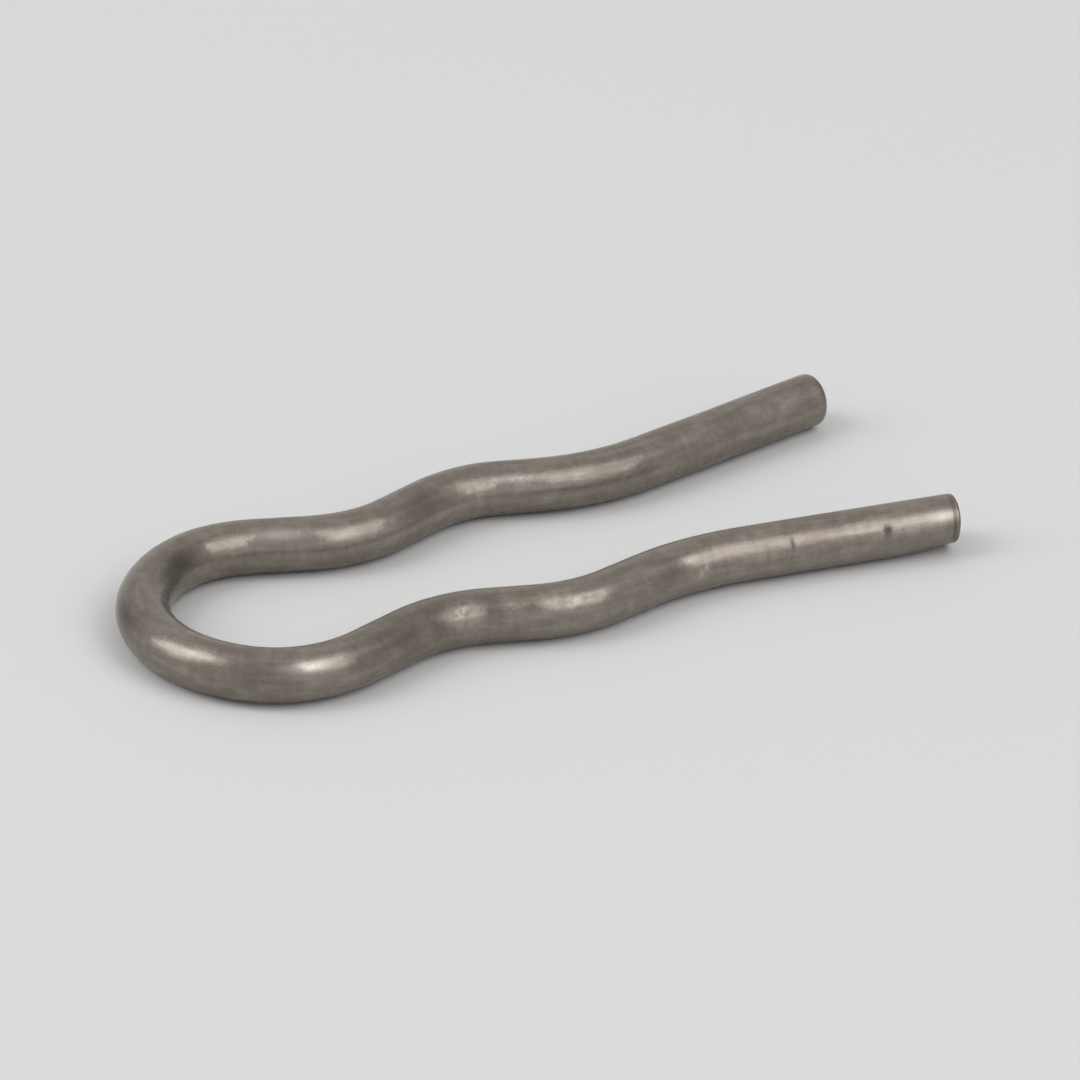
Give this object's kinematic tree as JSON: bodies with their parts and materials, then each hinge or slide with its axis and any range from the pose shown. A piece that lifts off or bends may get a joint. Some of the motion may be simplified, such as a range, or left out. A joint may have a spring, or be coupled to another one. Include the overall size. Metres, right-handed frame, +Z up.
{
  "type": "spring clip",
  "caption": "Flat spring clip bent from round steel wire: a closed loop, mirrored legs with a neck, a rounded seat that snaps over a grooved pin, and a flared open mouth.",
  "frame": {"origin": "on the surface that the clip lies on, below the middle of its box", "axes": "+X from the closed loop to the open mouth, +Y across the legs, +Z up, square to the flat of the clip"},
  "size_m": [0.0388, 0.0154, 0.0025],
  "materials": {
    "spring_wire": "bare drawn spring wire, satin, with a fine grain along the wire and light tool marks at the bends"
  },
  "bodies": {
    "root": {"spring_clip": "spring_wire"}
  },
  "joints": []
}
